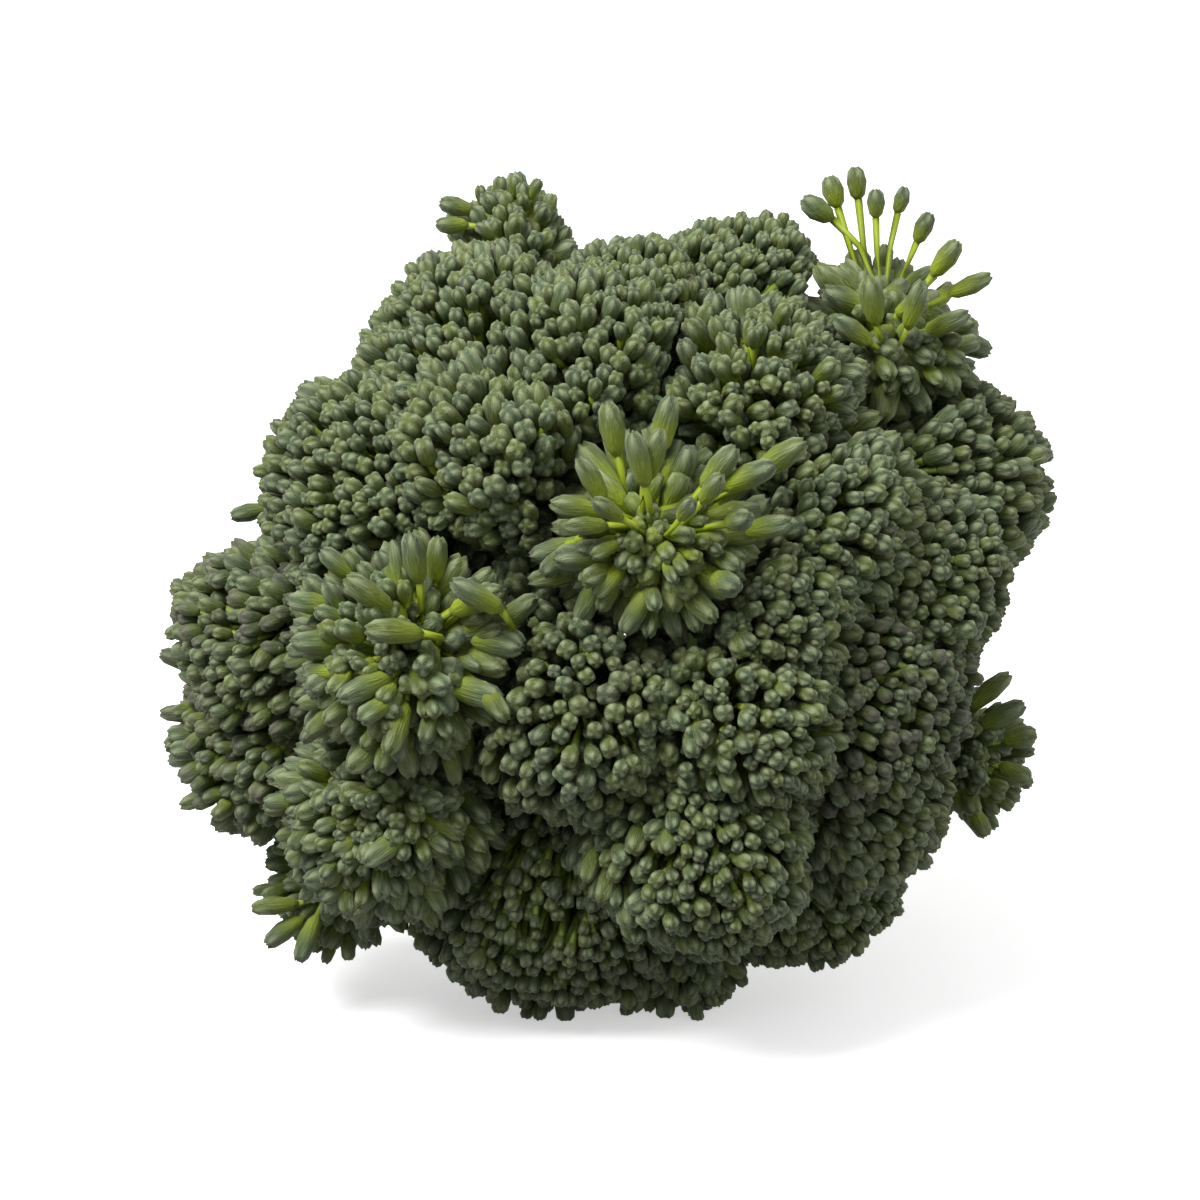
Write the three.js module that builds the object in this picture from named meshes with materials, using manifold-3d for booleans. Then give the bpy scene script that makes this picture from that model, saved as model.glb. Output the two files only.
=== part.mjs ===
// A tied bunch of broccolini lying on its side: fifteen cut stems, each forking into one to three
// flower clusters (florets), a few small stem leaves, and the rubber band that holds the stems.
//
// Everything is laid out in the bunch's own frame, in millimetres: x across, y up, z forward along the
// stems to the flowers, with zero at the middle of the flower mass. The bunch group then tips that frame
// back so that the lowest florets and the cut ends of the lowest stems rest on the ground, z = 0.

import * as THREE from "three";
import { mergeVertices } from "three/addons/utils/BufferGeometryUtils.js";
import Module from "manifold-3d";

const wasm = await Module();
wasm.setup();

// ---- Driving dimensions ----
const DOME = { across: 68, up: 65, forward: 50 }; // half-sizes of the domed flower mass
const STEM_LENGTH = 150; // from the middle of the flower mass back to the cut ends
const STEM_RADIUS = { cut: 4.6, floret: 2.6 };
const LONE_STEM = 0.86; // thickness of a stem with a single floret, against one that forks
const STEM_PITCH = 9.9; // between neighbouring stems under the band
// The layers of the bundle, lowest first: where the first stem is, in pitches, and how many there are.
const STEM_ROWS = [
  { first: -1.5, count: 4 },
  { first: -2, count: 5 },
  { first: -1.5, count: 4 },
  { first: 0, count: 2 },
];
const BRANCH_RADIUS = { fork: 2.8, floret: 2.2 };
const FORK_AT = -48; // where the first branch leaves its stem
const FORK_STEP = 12; // from one branch to the next
const FAN_POINT = new THREE.Vector3(0, 0, -70); // where the florets' axes meet
const BAND = { at: -100, width: 7, thickness: 1.5 };
const GAP = 0.3; // clearance between touching pieces
const REST_FLAT = 1.3; // how far the lowest florets are pressed flat
const END_SPREAD = 1.06; // spread of the cut ends, against the spread under the band
const HUB_DEPTH = 0.5; // where a branch ends inside its floret, in floret radii behind the middle
const SIDES = { stem: 8, branch: 6, floret: 11 };

// ---- Florets: stalk, letter, place across and up, radius, and how far it stands proud of the dome ----
const FLORETS = [
  { stalk: 1, letter: "a", across: -18, up: 34.5, radius: 19, proud: -2 },
  { stalk: 1, letter: "b", across: -13, up: 54, radius: 10.5, proud: -5 },
  { stalk: 2, letter: "a", across: -31, up: 14.5, radius: 20.5, proud: -1 },
  { stalk: 3, letter: "a", across: -26.5, up: -7, radius: 20.5, proud: 6 },
  { stalk: 3, letter: "b", across: -16, up: 20, radius: 19, proud: 0 },
  { stalk: 4, letter: "a", across: -1.5, up: 33.5, radius: 17, proud: 0 },
  { stalk: 4, letter: "b", across: 4, up: 40, radius: 14.5, proud: -4 },
  { stalk: 5, letter: "a", across: 20, up: 42, radius: 17, proud: -5 },
  { stalk: 6, letter: "a", across: 21.5, up: 26, radius: 20, proud: 2 },
  { stalk: 6, letter: "b", across: 32.5, up: 11.5, radius: 17, proud: 0 },
  { stalk: 7, letter: "a", across: 41, up: 37.5, radius: 17.5, proud: 6 },
  { stalk: 8, letter: "a", across: 48.5, up: 17.5, radius: 19.5, proud: -1 },
  { stalk: 8, letter: "b", across: 43, up: 3, radius: 18, proud: -2 },
  { stalk: 9, letter: "a", across: 8, up: 10, radius: 19.5, proud: 6 },
  { stalk: 9, letter: "b", across: 24, up: -2, radius: 15.5, proud: 0 },
  { stalk: 10, letter: "a", across: -48.5, up: -6, radius: 16.5, proud: -3 },
  { stalk: 10, letter: "b", across: -47, up: -19, radius: 18, proud: -1 },
  { stalk: 11, letter: "a", across: -30, up: -30.5, radius: 19, proud: 3 },
  { stalk: 11, letter: "b", across: -38.5, up: -41, radius: 13, proud: -5 },
  { stalk: 12, letter: "a", across: -3, up: -15, radius: 20, proud: -2 },
  { stalk: 12, letter: "b", across: 20, up: -17, radius: 18, proud: 2 },
  { stalk: 13, letter: "a", across: 36.5, up: -13.5, radius: 20, proud: -2 },
  { stalk: 13, letter: "b", across: 55, up: -23.5, radius: 11.5, proud: -7 },
  { stalk: 14, letter: "a", across: -5, up: -38, radius: 26.5, proud: -6 },
  { stalk: 14, letter: "b", across: 9.5, up: -50, radius: 15.5, proud: -7 },
  { stalk: 15, letter: "a", across: 14, up: -34, radius: 19, proud: 4 },
  { stalk: 15, letter: "b", across: 28.5, up: -38, radius: 19, proud: -4 },
  { stalk: 15, letter: "c", across: 37.5, up: -30, radius: 16, proud: -3 },
];

// ---- Leaves: which stem, how far forward they leave it, their turn round the bunch, and their length ----
const LEAVES = [
  { stalk: 10, forward: -78, turn: 172, length: 34 },
  { stalk: 2, forward: -66, turn: 140, length: 28 },
  { stalk: 4, forward: -84, turn: 104, length: 38 },
  { stalk: 5, forward: -70, turn: 72, length: 30 },
  { stalk: 7, forward: -82, turn: 38, length: 36 },
  { stalk: 8, forward: -62, turn: 12, length: 26 },
];

// ---- Colours ----
const material = (color, roughness) => new THREE.MeshStandardMaterial({ color, roughness, metalness: 0 });
const LOOKS = {
  floret: material(0x4b5a3a, 0.6),
  stem: material(0x8ea860, 0.5),
  leaf: material(0x56743f, 0.55),
  band: material(0xb08a5c, 0.7),
};

// ---- Solids from geometries and back ----
function solidOf(geometry) {
  const bare = geometry.clone();
  bare.deleteAttribute("normal");
  bare.deleteAttribute("uv");
  const merged = mergeVertices(bare, 1e-4);
  const corners = merged.index.array;
  const kept = [];
  for (let i = 0; i < corners.length; i += 3) {
    const [a, b, c] = corners.slice(i, i + 3);
    if (a !== b && b !== c && c !== a) {
      kept.push(a, b, c);
    }
  }
  return new wasm.Manifold(
    new wasm.Mesh({
      numProp: 3,
      vertProperties: merged.attributes.position.array,
      triVerts: new Uint32Array(kept),
    }),
  );
}

function geometryOf(solid) {
  const mesh = solid.getMesh();
  const geometry = new THREE.BufferGeometry();
  geometry.setAttribute("position", new THREE.BufferAttribute(mesh.vertProperties, 3));
  geometry.setIndex(new THREE.BufferAttribute(mesh.triVerts, 1));
  geometry.computeVertexNormals();
  return geometry;
}

// The half of space on the far side of a plane, as a box much larger than the bunch.
function beyond(normal, distance) {
  const size = 600;
  const box = new THREE.BoxGeometry(size, size, size).translate(0, 0, size / 2 + distance);
  const turn = new THREE.Quaternion().setFromUnitVectors(new THREE.Vector3(0, 0, 1), normal);
  return solidOf(box.applyQuaternion(turn));
}

// A round rod with closed ends along a curve, with its radius given at evenly spaced stations.
function rod(curve, radii, sides) {
  const stations = radii.length - 1;
  const outline = radii.map((radius, i) => new THREE.Vector2(radius, i));
  const profile = [new THREE.Vector2(0, 0), ...outline, new THREE.Vector2(0, stations)];
  const geometry = new THREE.LatheGeometry(profile, sides);
  const frames = curve.computeFrenetFrames(stations);
  const place = geometry.attributes.position;
  for (let i = 0; i < place.count; i++) {
    const station = Math.round(place.getY(i));
    const point = curve
      .getPointAt(station / stations)
      .addScaledVector(frames.binormals[station], place.getX(i))
      .addScaledVector(frames.normals[station], place.getZ(i));
    place.setXYZ(i, point.x, point.y, point.z);
  }
  return solidOf(geometry);
}

function tapered(from, to, stations) {
  return Array.from({ length: stations + 1 }, (_, i) => THREE.MathUtils.lerp(from, to, i / stations));
}

// ---- Where the florets sit: on an inner dome, facing away from the fan point ----
for (const floret of FLORETS) {
  const { across, up, radius, proud } = floret;
  const reach = (across / (DOME.across - radius)) ** 2 + (up / (DOME.up - radius)) ** 2;
  const forward = (DOME.forward - radius) * Math.sqrt(Math.max(0, 1 - reach)) + proud;
  floret.middle = new THREE.Vector3(across, up, forward);
  floret.axis = floret.middle.clone().sub(FAN_POINT).normalize();
  floret.hub = floret.middle.clone().addScaledVector(floret.axis, -HUB_DEPTH * radius);
}

const stalkNumbers = [...new Set(FLORETS.map((floret) => floret.stalk))];
const stalks = stalkNumbers.map((number) => ({
  number,
  florets: FLORETS.filter((floret) => floret.stalk === number),
}));

// ---- The bundle: seats in layers, each stalk in the seat that suits where its florets are ----
const ROW_HEIGHT = STEM_PITCH * Math.sin(Math.PI / 3);
const seats = STEM_ROWS.flatMap(({ first, count }, row) =>
  Array.from({ length: count }, (_, i) => {
    const up = (row - (STEM_ROWS.length - 1) / 2) * ROW_HEIGHT;
    return new THREE.Vector2((first + i) * STEM_PITCH, up);
  }),
);
const BUNDLE_DROP = ((STEM_ROWS.length - 1) / 2) * ROW_HEIGHT * END_SPREAD + STEM_RADIUS.cut;

for (const [i, stalk] of stalks.entries()) {
  const sum = new THREE.Vector3();
  for (const floret of stalk.florets) sum.add(floret.hub);
  stalk.head = sum.divideScalar(stalk.florets.length);
  stalk.seat = seats[i];
}
const pull = (stalk, seat) => stalk.head.x * seat.x + stalk.head.y * seat.y;
const gain = (a, b) => pull(a, b.seat) + pull(b, a.seat) - pull(a, a.seat) - pull(b, b.seat);
let swapped = true;
while (swapped) {
  swapped = false;
  for (const [i, a] of stalks.entries()) {
    for (const b of stalks.slice(i + 1)) {
      if (gain(a, b) < 1e-6) continue;
      [a.seat, b.seat] = [b.seat, a.seat];
      swapped = true;
    }
  }
}

// ---- Stems with their branches ----
// A stem runs through the band to its first floret; its other florets are on branches that leave it.
function stemPaths(stalk) {
  const { seat, florets } = stalk;
  const [first, ...others] = florets;
  const at = (forward, spread) => new THREE.Vector3(seat.x * spread, seat.y * spread, forward);
  const held = at(BAND.at + BAND.width, 1);
  const approach = first.hub.clone().addScaledVector(first.axis, -0.4 * first.hub.distanceTo(held));
  const before = at(BAND.at - BAND.width, 1);
  const stem = new THREE.CatmullRomCurve3([at(-STEM_LENGTH, END_SPREAD), before, held, approach, first.hub]);
  const branches = others.map((floret, i) => {
    const leaving = pathShare(stem, FORK_AT + i * FORK_STEP);
    const start = stem.getPointAt(leaving);
    const reach = floret.hub.distanceTo(start);
    const near = start.clone().addScaledVector(stem.getTangentAt(leaving), reach * 0.35);
    const far = floret.hub.clone().addScaledVector(floret.axis, -reach * 0.35);
    return new THREE.CubicBezierCurve3(start, near, far, floret.hub);
  });
  return { stem, branches };
}

// How far along a path, as a share of its length, it comes level with a place on the bunch's axis.
function pathShare(path, forward) {
  let low = 0;
  let high = 1;
  for (let i = 0; i < 30; i++) {
    const middle = (low + high) / 2;
    if (path.getPointAt(middle).z < forward) {
      low = middle;
    } else {
      high = middle;
    }
  }
  return low;
}

// The stem grown by a margin all round, so that the same shape also cuts its own clearance.
function stemSolid(paths, margin) {
  const grown = (radii) => radii.map((radius) => radius + margin);
  const cut = STEM_RADIUS.cut * (paths.branches.length ? 1 : LONE_STEM);
  let solid = rod(paths.stem, grown(tapered(cut, STEM_RADIUS.floret, 7)), SIDES.stem);
  for (const branch of paths.branches) {
    const radii = grown(tapered(BRANCH_RADIUS.fork, BRANCH_RADIUS.floret, 4));
    solid = solid.add(rod(branch, radii, SIDES.branch));
  }
  return solid;
}

// Where two stems press together, the later one gives way.
for (const [i, stalk] of stalks.entries()) {
  stalk.paths = stemPaths(stalk);
  stalk.clearance = stemSolid(stalk.paths, GAP);
  stalk.solid = stemSolid(stalk.paths, 0);
  for (const earlier of stalks.slice(0, i)) {
    stalk.solid = stalk.solid.subtract(earlier.clearance);
  }
}

// ---- The ground, as a plane in the bunch's frame that touches the flower mass and the cut ends ----
const TILT = Math.atan2(DOME.up - REST_FLAT - BUNDLE_DROP, STEM_LENGTH);
const DOWN = new THREE.Vector3(0, -Math.cos(TILT), -Math.sin(TILT));
const GROUND = DOWN.dot(new THREE.Vector3(0, REST_FLAT - DOME.up, 0));
const ground = beyond(DOWN, GROUND);

// ---- Florets ----
// The outline of a floret from its branch up to its crown, in floret radii: out from the axis, and up.
const FLORET_OUTLINE = [
  [0, -1.1],
  [0.3, -1.06],
  [0.62, -0.7],
  [0.94, -0.22],
  [1, 0.2],
  [0.84, 0.6],
  [0.48, 0.9],
  [0, 1],
];
const UNEVEN = 0.04; // how far the clusters of buds stand out and sink in, in floret radii

function floretDome(floret, i) {
  const profile = FLORET_OUTLINE.map(([out, up]) => new THREE.Vector2(out, up));
  const geometry = new THREE.LatheGeometry(profile, SIDES.floret);
  const place = geometry.attributes.position;
  const point = new THREE.Vector3();
  for (let k = 0; k < place.count; k++) {
    point.fromBufferAttribute(place, k);
    const lobes = Math.sin(4 * point.x + i) + Math.sin(4 * point.z + 2 * i);
    point.multiplyScalar(1 + UNEVEN * lobes);
    place.setXYZ(k, point.x, point.y, point.z);
  }
  const turn = new THREE.Quaternion().setFromUnitVectors(new THREE.Vector3(0, 1, 0), floret.axis);
  const { x, y, z } = floret.middle;
  geometry.scale(floret.radius, floret.radius, floret.radius).applyQuaternion(turn);
  return solidOf(geometry.translate(x, y, z));
}

// Neighbouring florets press flat against each other in the plane where their spheres would meet.
function pressed(floret, solid) {
  for (const other of FLORETS) {
    if (other === floret) continue;
    const towards = other.middle.clone().sub(floret.middle);
    const apart = towards.length();
    if (apart > 1.7 * (floret.radius + other.radius)) continue;
    const share = (apart ** 2 + floret.radius ** 2 - other.radius ** 2) / (2 * apart);
    towards.divideScalar(apart);
    solid = solid.subtract(beyond(towards, floret.middle.dot(towards) + share - GAP / 2));
  }
  return solid;
}

// What is left of a solid beside the stems, without the crumbs that they cut off.
function clearOfStems(solid) {
  const cut = stalks.reduce((rest, stalk) => rest.subtract(stalk.clearance), solid);
  const [largest] = cut.decompose().sort((a, b) => b.volume() - a.volume());
  return largest;
}

for (const [i, floret] of FLORETS.entries()) {
  floret.solid = clearOfStems(pressed(floret, floretDome(floret, i)).subtract(ground));
}

// ---- Leaves ----
// A thin blade on a short stalk, bowed back from the stem, with its midrib sunk between raised sides.
function leafSolid(leaf) {
  const { length } = leaf;
  const geometry = new THREE.SphereGeometry(1, 8, 8);
  const place = geometry.attributes.position;
  for (let i = 0; i < place.count; i++) {
    const along = (place.getY(i) + 1) / 2;
    const blade = THREE.MathUtils.smoothstep(along, 0.12, 0.5);
    const width = THREE.MathUtils.lerp(0.06, 0.24, blade) * length;
    const thickness = THREE.MathUtils.lerp(1.3, 0.7, blade);
    const across = place.getX(i) * width;
    const fold = 0.35 * Math.abs(across) * blade;
    const bow = -0.2 * length * along ** 2;
    place.setXYZ(i, across, along * length, place.getZ(i) * thickness + fold + bow);
  }
  const turn = THREE.MathUtils.degToRad(leaf.turn);
  const outward = new THREE.Vector3(Math.cos(turn), Math.sin(turn), 0);
  const forward = new THREE.Vector3(0, 0, 1);
  const along = outward.clone().multiplyScalar(0.62).addScaledVector(forward, 0.78).normalize();
  const across = new THREE.Vector3().crossVectors(outward, forward).normalize();
  const facing = new THREE.Vector3().crossVectors(across, along);
  const { stem } = stalks.find((stalk) => stalk.number === leaf.stalk).paths;
  const root = stem.getPointAt(pathShare(stem, leaf.forward));
  root.addScaledVector(outward, STEM_RADIUS.cut * 0.6);
  const basis = new THREE.Matrix4().makeBasis(across, along, facing).setPosition(root);
  return solidOf(geometry.applyMatrix4(basis));
}

for (const leaf of LEAVES) {
  leaf.solid = clearOfStems(leafSolid(leaf));
}

// ---- Rubber band: a flat loop stretched round the outer stems ----
function convexOutline(points) {
  const sorted = [...points].sort((a, b) => a.x - b.x || a.y - b.y);
  const chain = (list) => {
    const kept = [];
    for (const point of list) {
      while (kept.length > 1) {
        const [before, last] = kept.slice(-2);
        const turn = (last.x - before.x) * (point.y - before.y) - (last.y - before.y) * (point.x - before.x);
        if (turn > 1e-9) break;
        kept.pop();
      }
      kept.push(point);
    }
    return kept.slice(0, -1);
  };
  return [...chain(sorted), ...chain(sorted.reverse())];
}

function bandSolid() {
  const steps = 24;
  const loop = (radius) =>
    convexOutline(
      seats.flatMap((seat) =>
        Array.from({ length: steps }, (_, i) => {
          const angle = (i / steps) * 2 * Math.PI;
          return new THREE.Vector2(seat.x + radius * Math.cos(angle), seat.y + radius * Math.sin(angle));
        }),
      ),
    );
  const inner = (STEM_RADIUS.cut + GAP) / Math.cos(Math.PI / steps);
  const shape = new THREE.Shape(loop(inner + BAND.thickness));
  shape.holes.push(new THREE.Path(loop(inner)));
  const geometry = new THREE.ExtrudeGeometry(shape, { depth: BAND.width, bevelEnabled: false });
  return solidOf(geometry.translate(0, 0, BAND.at - BAND.width / 2));
}

// ---- The scene graph ----
const bunch = new THREE.Group();
bunch.rotation.x = Math.PI / 2 - TILT;

function addPiece(name, solid, look) {
  const mesh = new THREE.Mesh(geometryOf(solid), look);
  mesh.name = name;
  bunch.add(mesh);
}

const numbered = (number) => String(number).padStart(2, "0");
for (const stalk of stalks) {
  addPiece("stem_" + numbered(stalk.number), stalk.solid.subtract(ground), LOOKS.stem);
  for (const floret of stalk.florets) {
    addPiece("floret_" + numbered(stalk.number) + floret.letter, floret.solid, LOOKS.floret);
  }
}
LEAVES.forEach((leaf, i) => addPiece("leaf_" + numbered(i + 1), leaf.solid, LOOKS.leaf));
addPiece("rubber_band", bandSolid(), LOOKS.band);

// The origin is the middle of the underside, on the ground.
const broccolini = new THREE.Group();
broccolini.add(bunch);
const extent = new THREE.Box3().setFromObject(broccolini, true);
const middle = extent.getCenter(new THREE.Vector3());
bunch.position.set(-middle.x, -middle.y, -extent.min.z);

export default broccolini;
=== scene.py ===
"""The looks of a tied bunch of broccolini that lies on its side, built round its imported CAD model.

Every floret is grown afresh on its CAD solid: flower buds packed over its crown, each on a thin stalk
that runs back to the floret's axis. Stems, leaves and the rubber band are smooth skins over their solids.
Lengths are in millimetres until a mesh is made, and MM turns them into metres.
"""

import math

import bmesh
import bpy
import numpy as np
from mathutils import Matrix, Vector
from mathutils.bvhtree import BVHTree


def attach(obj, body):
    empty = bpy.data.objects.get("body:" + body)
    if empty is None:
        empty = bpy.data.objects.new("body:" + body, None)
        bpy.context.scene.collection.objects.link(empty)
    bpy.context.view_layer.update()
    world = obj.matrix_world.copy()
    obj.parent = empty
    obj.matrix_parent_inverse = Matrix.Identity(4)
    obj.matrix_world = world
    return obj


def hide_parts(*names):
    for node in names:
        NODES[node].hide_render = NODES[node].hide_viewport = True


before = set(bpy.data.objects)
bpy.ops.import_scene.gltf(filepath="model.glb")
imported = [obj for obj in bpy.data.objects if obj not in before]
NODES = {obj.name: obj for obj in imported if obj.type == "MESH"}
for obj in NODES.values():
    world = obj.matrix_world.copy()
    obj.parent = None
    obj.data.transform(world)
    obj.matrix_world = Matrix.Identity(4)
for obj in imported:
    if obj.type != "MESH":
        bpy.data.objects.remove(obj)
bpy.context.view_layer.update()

MM = 0.001

# ---- Looks of each floret ----
# young, grown: width of the buds in the middle of the crown and at its rim.
# short, long: length of a young and of a grown bud, against its width.
# swept: how far the buds lean with the whole bunch rather than with their own floret.
# open: height of the point that the buds fan out from, in floret radii above the middle.
# loose: spacing of the buds, against the usual. ragged: how unevenly they stand out, in mm.
# bare: where the stalks show between the buds: directions round the crown from one to the other, in
# degrees from across towards up, and how far out from the middle of the crown, in degrees.
# cup: how far the middle of the crown is sunk, in mm. hub: where its stalks leave, as open is given.
# cluster: size of the clusters that the buds stand in, in mm.
# yellow: how far yellow-green runs up the buds. blush: purple on the buds, and painted shade on the florets
# that lie in shade. crown: turn of the crown.
DEFAULT = dict(
    young=2.3, grown=3.3, short=1.6, long=2.3, swept=1.0, open=-0.35, loose=1.0, ragged=1.0,
    yellow=0.35, blush=0.15, crown=(0.0, 0.0), hub=0.35, cup=0.0, bare=None, cluster=9.5,
)
# What florets at the same stage of opening share.
WIDE_OPEN = dict(cup=4.0, swept=0.1, short=1.8, ragged=2.2, yellow=0.9, hub=0.45)
LOOSENING = dict(swept=0.4, short=1.8)
TIGHT = dict(short=1.25)
FLORET_LOOKS = {
    "01a": dict(young=2.3, grown=3.2, long=2.2, open=-0.2, crown=(-0.1, 0.1)),
    "01b": dict(LOOSENING, young=2.2, grown=3.1, long=2.1, open=0.1, loose=1.15, ragged=1.6, yellow=0.8),
    "02a": dict(young=2.3, grown=3.2, long=2.3, open=-0.2, crown=(0.1, -0.1)),
    "03a": dict(
        WIDE_OPEN, bare=(-60, 100, 8, 50), young=2.5, grown=3.8, long=2.5, open=0.5, loose=1.25, ragged=2.0,
    ),
    "03b": dict(young=2.6, grown=3.5, long=2.4, open=-0.1, ragged=1.4, yellow=0.5),
    "04a": dict(young=2.4, grown=3.3, long=2.2, open=-0.2, yellow=0.45),
    "04b": dict(young=2.2, grown=2.9, long=2.0, open=-0.3),
    "05a": dict(young=1.9, grown=2.8, long=1.8, open=-0.4, yellow=0.15, blush=0.1),
    "06a": dict(LOOSENING, cup=2.0, grown=3.6, long=2.5, open=0.2, loose=1.08, ragged=1.6, yellow=0.75),
    "06b": dict(young=2.6, grown=3.4, long=2.3, open=-0.1, yellow=0.4),
    "07a": dict(WIDE_OPEN, bare=(20, 170, 5, 50), grown=4.0, long=2.2, open=0.5, loose=1.28),
    "08a": dict(young=2.4, grown=3.1, long=2.1, open=-0.35, yellow=0.2),
    "08b": dict(TIGHT, young=2.3, grown=2.8, long=1.9, open=-0.45, yellow=0.1, blush=0.35),
    "09a": dict(
        WIDE_OPEN, bare=(5, 185, 8, 62), cup=6.0, grown=3.8, long=2.6, open=0.6, loose=1.34, yellow=1.0,
    ),
    "09b": dict(young=2.5, grown=3.2, long=2.3, open=-0.1, yellow=0.3),
    "10a": dict(young=2.2, grown=3.1, long=2.0, open=-0.2, yellow=0.3, blush=0.7),
    "10b": dict(young=2.4, grown=3.4, long=2.5, open=0.25, ragged=1.8, yellow=0.6, blush=0.6),
    "11a": dict(
        LOOSENING, cup=2.5, young=2.5, grown=3.7, long=2.6, open=0.4, loose=1.08, ragged=1.8, yellow=0.8,
    ),
    "11b": dict(LOOSENING, young=2.4, grown=3.3, long=2.3, open=0.3, loose=1.2, ragged=2.0, yellow=0.7),
    "12a": dict(TIGHT, young=2.6, grown=3.3, long=1.9, open=-0.5, loose=1.05, yellow=0.2, blush=0.3),
    "12b": dict(young=2.2, grown=3.4, long=2.2, open=-0.2, loose=1.05, yellow=0.55),
    "13a": dict(TIGHT, young=2.2, grown=2.9, long=2.0, open=-0.4, yellow=0.1, blush=0.8),
    "13b": dict(LOOSENING, young=2.3, grown=3.3, long=2.2, open=0.4, loose=1.25, ragged=2.2, yellow=0.7),
    "14a": dict(TIGHT, young=1.8, grown=3.2, long=1.9, open=-0.45, yellow=0.15, blush=0.5),
    "14b": dict(young=2.3, grown=3.3, long=1.9, open=-0.2, ragged=1.6, yellow=0.2),
    "15a": dict(TIGHT, young=2.0, grown=3.5, long=2.1, open=-0.35, yellow=0.35),
    "15b": dict(TIGHT, young=2.0, grown=2.9, long=2.0, open=-0.3, yellow=0.2, blush=0.3),
    "15c": dict(TIGHT, young=2.3, grown=3.1, long=2.1, open=-0.2, yellow=0.2, blush=0.4),
}

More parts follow.
